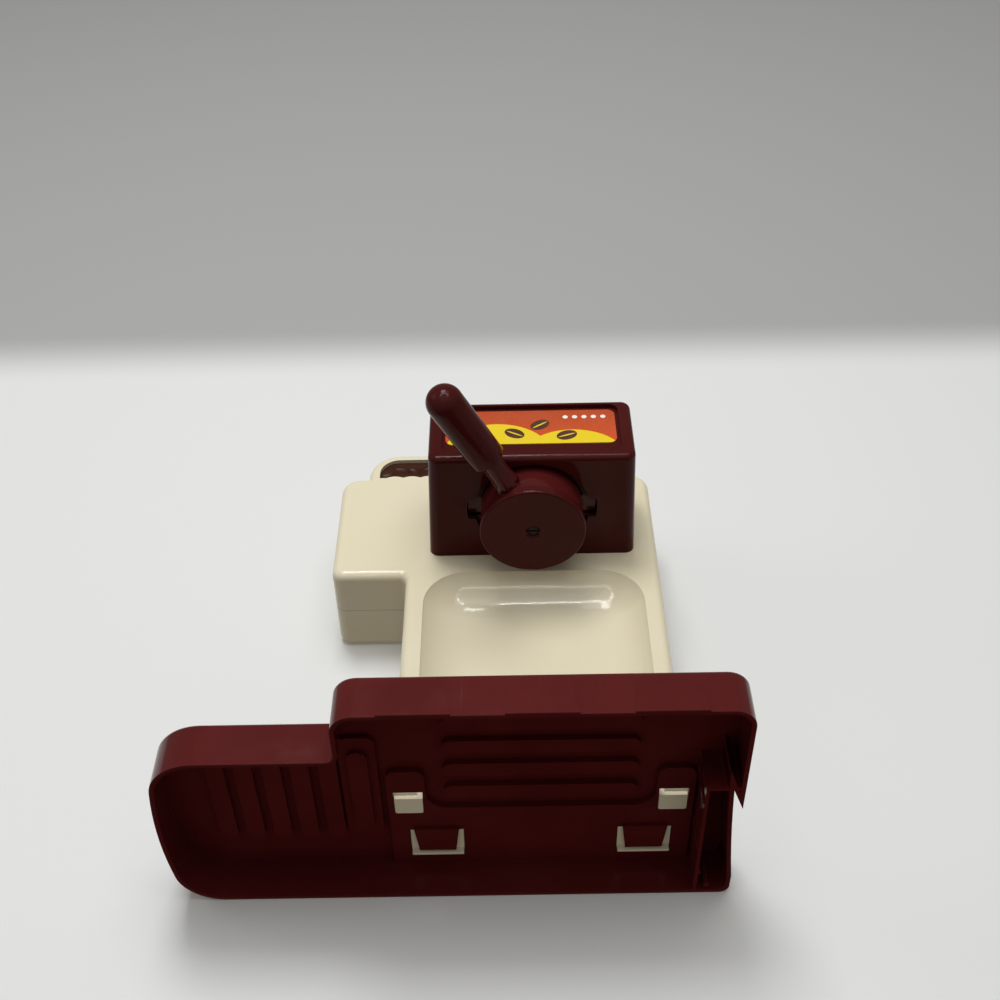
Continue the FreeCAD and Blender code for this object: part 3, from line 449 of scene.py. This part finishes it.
def paint():
    """Gives every CAD node its finish, and returns the finishes by node."""
    cream = moulded_plastic("cream_plastic", CREAM, CREAM_AGED,
                            gloss=0.10, sheen=0.32, peel_depth=0.00007, seam=True)
    maroon = moulded_plastic("maroon_plastic", MAROON, MAROON_DEEP,
                             gloss=0.12, sheen=0.20, peel_depth=0.00008)
    head = moulded_plastic("brown_plastic", HEAD_MAROON, HEAD_DEEP,
                           gloss=0.08, sheen=0.09, peel_depth=0.000015)
    cup = moulded_plastic("cup_plastic", MAROON_DEEP, HEAD_MAROON,
                          gloss=0.12, sheen=0.18, peel_depth=0.00003)
    dark = moulded_plastic("dark_plastic", SOCKET_DARK, SOCKET_DARK,
                           gloss=0.35, sheen=0.10, peel_depth=0.00004)
    steel = screw_steel("screw_steel", STEEL, STEEL_TARNISH)
    # Painted shade: the disc's screw gets a near-black steel standing for the shade in its hole
    shaded_steel = screw_steel("shaded_screw_steel", SHADED_STEEL, SHADED_TARNISH)
    finishes = {
        "base_shell": maroon,
        "body_front_shell": cream,
        "body_rear_cover": cream,
        "body_screws": steel,
        "head_shell": head,
        "head_screws": steel,
        "head_label": printed_label(),
        "hopper_beans": bean_plastic(),
        "brew_socket": dark,
        "socket_bridge": dark,
        "bridge_screws": steel,
        "portafilter_cup": cup,
        "portafilter_disc": head,
        "disc_screw": shaded_steel,
        "portafilter_grip": head,
    }
    for name, material in finishes.items():
        node = NODES[name]
        if not node.material_slots:
            node.data.materials.append(None)
        for one_slot in node.material_slots:
            one_slot.material = material
    return finishes


def link_piece(name, mesh, material, body):
    """Puts a mesh into the scene as a piece that moves with one body."""
    mesh.materials.append(material)
    piece = bpy.data.objects.new(name, mesh)
    bpy.context.scene.collection.objects.link(piece)
    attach(piece, body)
    return piece


def smooth_piece(name, points, faces, material, body):
    """Smooth-shaded piece from points and faces."""
    mesh = bpy.data.meshes.new(name)
    mesh.from_pydata(points, [], faces)
    mesh.shade_smooth()
    return link_piece(name, mesh, material, body)


def tub_depth(inward):
    """Depth of the dished recess at a distance inward from its mouth."""
    if inward >= TUB_REACH:
        return TUB_DEPTH
    return TUB_DEPTH - TUB_CURVE + math.sqrt(TUB_CURVE ** 2 - (TUB_REACH - inward) ** 2)


def dish_row(inward):
    """Arch at a distance inward from the recess's mouth: up the left, over the top, down the right."""
    radius = max(TUB_CORNER - inward, 0.0)
    core_x = TUB_HALF - inward - radius
    core_z = TUB_TOP - inward - radius
    row = []
    for step in range(DISH_SIDE_STEPS):
        row.append((-core_x - radius, TRAY_TOP + (core_z - TRAY_TOP) * step / DISH_SIDE_STEPS))
    for step in range(DISH_CORNER_STEPS):
        angle = math.pi - math.pi / 2.0 * step / DISH_CORNER_STEPS
        row.append((-core_x + radius * math.cos(angle), core_z + radius * math.sin(angle)))
    for step in range(DISH_TOP_STEPS):
        row.append((-core_x + 2.0 * core_x * step / DISH_TOP_STEPS, core_z + radius))
    for step in range(DISH_CORNER_STEPS):
        angle = math.pi / 2.0 - math.pi / 2.0 * step / DISH_CORNER_STEPS
        row.append((core_x + radius * math.cos(angle), core_z + radius * math.sin(angle)))
    for step in range(DISH_SIDE_STEPS + 1):
        row.append((core_x + radius, core_z + (TRAY_TOP - core_z) * step / DISH_SIDE_STEPS))
    return row


def make_dish(material):
    """Smooth dished lining of the recess, drawn as offset curves of its mouth."""
    points = []
    columns = len(dish_row(DISH_MARGIN))
    for ring in range(DISH_RINGS + 1):
        eased = 1.0 - math.cos(math.pi / 2.0 * ring / DISH_RINGS)
        inward = DISH_MARGIN + (TUB_REACH - DISH_MARGIN) * eased
        y = BACK - BODY_DEPTH + tub_depth(inward) - DISH_PROUD
        points += [(MIDDLE_X + x, y, z) for x, z in dish_row(inward)]
    faces = []
    for ring in range(DISH_RINGS):
        for column in range(columns - 1):
            a = ring * columns + column
            faces.append((a, a + columns, a + columns + 1, a + 1))
    last = DISH_RINGS * columns
    faces.append(tuple(last + column for column in range(columns)))
    dish = smooth_piece("tub_dish", points, faces, material, "machine")
    build = bmesh.new()
    build.from_mesh(dish.data)
    bmesh.ops.recalc_face_normals(build, faces=build.faces[:])
    build.to_mesh(dish.data)
    build.free()


def handle_point(distance, across, rise):
    """Point by distance from the cup's axis along the handle, and offsets across and upwards."""
    along = Vector((math.cos(HANDLE_DROOP), 0.0, -math.sin(HANDLE_DROOP)))
    upward = Vector((math.sin(HANDLE_DROOP), 0.0, math.cos(HANDLE_DROOP)))
    flat = along * distance + Vector((0.0, 1.0, 0.0)) * across + upward * rise
    turned = Matrix.Rotation(-math.pi / 2.0 - HANDLE_ANGLE, 3, "Z") @ flat
    return turned + CUP_AXIS + Vector((0.0, 0.0, HANDLE_Z))


def handle_lathe(name, profile, steps, material, facets=0.0):
    """Closed solid round the handle's axis; facets above 0 flatten it into four soft sides."""
    points = []
    for distance, radius in profile:
        for step in range(steps):
            angle = 2.0 * math.pi * (step + 0.5) / steps
            bulge = 1.0 + facets * (math.cos(4.0 * angle) - 1.0) / 2.0
            across = radius * bulge * math.cos(angle)
            points.append(handle_point(distance, across, radius * bulge * math.sin(angle)))
    faces = []
    for ring in range(len(profile) - 1):
        for step in range(steps):
            a = ring * steps + step
            b = ring * steps + (step + 1) % steps
            faces.append((a, b, b + steps, a + steps))
    faces.append(tuple(reversed(range(steps))))
    faces.append(tuple(range((len(profile) - 1) * steps, len(profile) * steps)))
    return smooth_piece(name, points, faces, material, "portafilter")


def make_grip(material):
    """Grip with a hemispherical far end and a flat near end with a small edge round."""
    edge_steps, side_steps, dome_steps = 6, 8, 24
    straight = GRIP_FAR - GRIP_RADIUS - GRIP_NEAR - GRIP_EDGE
    profile = [(GRIP_NEAR, GRIP_BORE), (GRIP_NEAR, GRIP_RADIUS - GRIP_EDGE * 1.6)]
    for step in range(edge_steps + 1):
        angle = math.pi / 2.0 * step / edge_steps
        profile.append((GRIP_NEAR + GRIP_EDGE * (1.0 - math.cos(angle)),
                        GRIP_RADIUS - GRIP_EDGE * (1.0 - math.sin(angle))))
    for step in range(1, side_steps + 1):
        profile.append((GRIP_NEAR + GRIP_EDGE + straight * step / side_steps, GRIP_RADIUS))
    for step in range(1, dome_steps):
        angle = math.pi / 2.0 * step / dome_steps
        profile.append((GRIP_FAR - GRIP_RADIUS + GRIP_RADIUS * math.sin(angle),
                        GRIP_RADIUS * math.cos(angle)))
    grip = handle_lathe("grip_moulding", profile, GRIP_STEPS, material)
    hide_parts("portafilter_grip")


def make_neck(material):
    """Soft-edged square sleeve of the neck, which widens towards the cup."""
    parts = 12
    profile = []
    for step in range(parts + 1):
        share = step / parts
        profile.append((SLEEVE_NEAR + (SLEEVE_FAR - SLEEVE_NEAR) * share,
                        SLEEVE_RADIUS + SLEEVE_FLARE * (1.0 - share) ** 3))
    handle_lathe("neck_sleeve", profile, SLEEVE_STEPS, material, SLEEVE_FACETS)


def make_catches(material):
    """Cream lips with rounded edges that hook through the rear windows of the base."""
    for name, side in (("catch_lip_left", -1.0), ("catch_lip_right", 1.0)):
        x = MIDDLE_X + side * CATCH_OFFSET
        low = Vector((x - CATCH_HALF, BACK - CATCH_FAR, CATCH_LOW))
        high = Vector((x + CATCH_HALF, BACK - CATCH_NEAR, CATCH_HIGH))
        middle = (low + high) / 2.0
        size = high - low
        build = bmesh.new()
        bmesh.ops.create_cube(build, size=1.0)
        for corner in build.verts:
            corner.co = Vector([corner.co[axis] * size[axis] for axis in range(3)]) + middle
        bmesh.ops.bevel(build, geom=build.edges[:], offset=CATCH_EDGE, segments=4,
                        profile=0.5, affect="EDGES")
        mesh = bpy.data.meshes.new(name)
        build.to_mesh(mesh)
        build.free()
        link_piece(name, mesh, material, "machine")


def soft_lamp(name, place, size, power):
    """Square lamp aimed at the middle of the toy."""
    light = bpy.data.lights.new(name, "AREA")
    light.shape = "SQUARE"
    light.size = size
    light.energy = power
    lamp = bpy.data.objects.new(name, light)
    bpy.context.scene.collection.objects.link(lamp)
    lamp.location = place
    lamp.rotation_euler = (Vector(OBJECT_MIDDLE) - Vector(place)).to_track_quat("-Z", "Y").to_euler()


def make_world():
    """Even warm fill light, and a pale tone where the camera looks past the stage."""
    world = bpy.data.worlds.new("studio")
    bpy.context.scene.world = world
    world.use_nodes = True
    tree = world.node_tree
    background = tree.nodes["Background"]
    background.inputs["Color"].default_value = (*WORLD_COLOR, 1.0)
    background.inputs["Strength"].default_value = WORLD_STRENGTH
    pale = tree.nodes.new("ShaderNodeBackground")
    pale.inputs["Color"].default_value = (*WORLD_SEEN, 1.0)
    pale.inputs["Strength"].default_value = 1.0
    path = tree.nodes.new("ShaderNodeLightPath")
    blend = tree.nodes.new("ShaderNodeMixShader")
    tree.links.new(path.outputs["Is Camera Ray"], blend.inputs["Fac"])
    tree.links.new(background.outputs["Background"], blend.inputs[1])
    tree.links.new(pale.outputs["Background"], blend.inputs[2])
    tree.links.new(blend.outputs["Shader"], tree.nodes["World Output"].inputs["Surface"])


def make_camera():
    """Camera from the fitted pitch, roll and yaw."""
    ahead = Vector((0.0, math.sin(PITCH), math.cos(PITCH)))
    right = Vector((1.0, 0.0, 0.0))
    down = Vector((0.0, math.cos(PITCH), -math.sin(PITCH)))
    image_right = right * math.cos(ROLL) - down * math.sin(ROLL)
    image_down = right * math.sin(ROLL) + down * math.cos(ROLL)
    turn = Matrix(((math.cos(YAW), 0.0, math.sin(YAW)),
                   (0.0, 1.0, 0.0),
                   (-math.sin(YAW), 0.0, math.cos(YAW))))
    columns = (turn @ image_right, turn @ -image_down, turn @ -ahead)
    rotation = Matrix(columns).transposed()
    data = bpy.data.cameras.new("camera")
    data.sensor_width = SENSOR_WIDTH
    data.lens = FOCAL_PIXELS / IMAGE_SIZE * SENSOR_WIDTH
    data.clip_start = CLIP_START
    camera = bpy.data.objects.new("camera", data)
    bpy.context.scene.collection.objects.link(camera)
    camera.matrix_world = Matrix.Translation(CAMERA_PLACE) @ rotation.to_4x4()
    bpy.context.scene.camera = camera


def ring_lamp():
    """Round lamp that shows only as a thin ring in the glossy plastic."""
    n = Nodes("ring_light")
    glow = n.add("ShaderNodeEmission")
    glow.inputs["Color"].default_value = (1.0, 0.98, 0.95, 1.0)
    glow.inputs["Strength"].default_value = RING_GLOW
    n.link(glow.outputs["Emission"], n.output.inputs["Surface"])
    toward = Vector(RING_DIRECTION).normalized()
    mesh = bpy.data.meshes.new("stage_ring")
    inner, outer = RING_RADIUS - RING_WIDTH, RING_RADIUS
    points = []
    for step in range(RING_STEPS):
        angle = 2.0 * math.pi * step / RING_STEPS
        for radius in (inner, outer):
            points.append((radius * math.cos(angle), radius * math.sin(angle), 0.0))
    faces = []
    for step in range(RING_STEPS):
        a, b = 2 * step, 2 * ((step + 1) % RING_STEPS)
        faces.append((a, a + 1, b + 1, b))
    mesh.from_pydata(points, [], faces)
    mesh.materials.append(n.material)
    ring = bpy.data.objects.new("stage_ring", mesh)
    bpy.context.scene.collection.objects.link(ring)
    ring.rotation_euler = toward.to_track_quat("Z", "Y").to_euler()
    ring.location = Vector(OBJECT_MIDDLE) + toward * RING_DISTANCE
    ring.visible_camera = False
    ring.visible_diffuse = False
    ring.visible_shadow = False
    ring.visible_transmission = False


def make_stage():
    """Table behind the toy's back, floor under its base, and the lamps."""
    material = stage_material()
    upright = (math.radians(90.0), 0.0, 0.0)
    stage_plane("stage_table", upright, (0.0, BACK + TABLE_GAP, 0.0), material)
    stage_plane("stage_floor", (0.0, 0.0, 0.0), (0.0, 0.0, -TABLE_GAP), material)
    soft_lamp("key", *KEY_LAMP)
    soft_lamp("overhead", *OVERHEAD_LAMP)
    soft_lamp("side", *SIDE_LAMP)
    ring_lamp()


finish = paint()
make_dish(finish["body_front_shell"])
make_grip(finish["portafilter_grip"])
make_neck(finish["portafilter_cup"])
make_catches(finish["body_rear_cover"])
make_world()
make_camera()
make_stage()

bpy.context.scene.view_settings.view_transform = "Standard"
